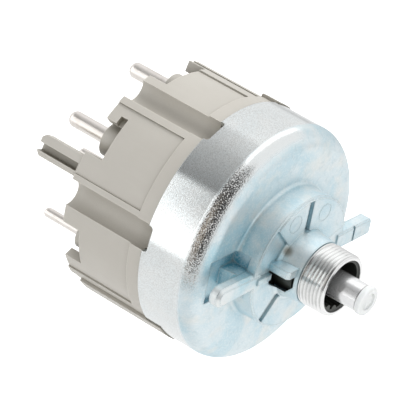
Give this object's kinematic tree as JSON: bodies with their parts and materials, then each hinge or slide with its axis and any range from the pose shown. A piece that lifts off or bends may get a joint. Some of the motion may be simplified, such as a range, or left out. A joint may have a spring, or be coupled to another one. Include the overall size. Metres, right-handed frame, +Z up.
{
  "type": "rotary headlight switch",
  "caption": "Round headlight switch: metal cup with threaded neck and shaft, grey connector body behind it with round contact pins",
  "frame": {"origin": "on the axis, in the middle of the threaded neck", "axes": "-Y is the front, along which the shaft points; +Z is up; the two arms lie along X; +Y is the rear, where the pins point"},
  "size_m": [0.061, 0.0815, 0.061],
  "materials": {
    "zinc": "zinc casting with blue-white passivation, skirt turned",
    "neck_steel": "bright turned and plated",
    "black_plastic": "matt black moulding",
    "grey_plastic": "warm grey moulding, satin",
    "tinned_pin": "tinned brass, satin",
    "spring_steel": "hardened, bright",
    "copper": "bare copper strip",
    "rotor_plastic": "dark moulding",
    "shaft_steel": "ground and plated",
    "light_plastic": "white translucent moulding",
    "slider_plastic": "natural moulding"
  },
  "bodies": {
    "housing": {"front_housing": "zinc", "threaded_neck": "neck_steel", "neck_liner": "black_plastic", "detent_ring": "spring_steel", "connector_body": "grey_plastic", "pin_1": "tinned_pin", "pin_2": "tinned_pin", "pin_3": "tinned_pin", "pin_4": "tinned_pin", "pin_5": "tinned_pin", "pin_6": "tinned_pin", "pin_7": "tinned_pin", "pin_8": "tinned_pin", "pin_9": "tinned_pin", "pin_10": "tinned_pin", "fog_leaf_1": "copper", "fog_leaf_2": "copper"},
    "rotor": {"rotor": "rotor_plastic", "detent_ball_1": "spring_steel", "detent_ball_2": "spring_steel", "detent_spring_1": "spring_steel", "detent_spring_2": "spring_steel", "pull_ball": "spring_steel", "pull_spring": "spring_steel", "spring_band": "spring_steel", "contact_bridge_1": "copper", "contact_bridge_2": "copper", "contact_bridge_3": "copper", "bridge_spring_1": "spring_steel", "bridge_spring_2": "spring_steel", "bridge_spring_3": "spring_steel"},
    "shaft": {"shaft_tube": "shaft_steel", "light_rod": "light_plastic", "drive_key": "spring_steel", "retaining_clip": "spring_steel"},
    "slider": {"fog_slider": "slider_plastic", "fog_bridge": "copper"}
  },
  "joints": [
    {"name": "rotor_turn", "type": "hinge", "parent": "housing", "child": "rotor", "pos_m": [0, 0, 0], "axis": [0, -1, 0], "range_deg": [-72, 72]},
    {"name": "shaft_pull", "type": "slide", "parent": "rotor", "child": "shaft", "axis": [0, -1, 0], "range_m": [0, 0.01]},
    {"name": "fog_slide", "type": "slide", "parent": "housing", "child": "slider", "axis": [0, -1, 0], "range_m": [0, 0.01]}
  ],
  "couplings": [
    {"joint": "fog_slide", "follows": "shaft_pull", "ratio": 1}
  ]
}
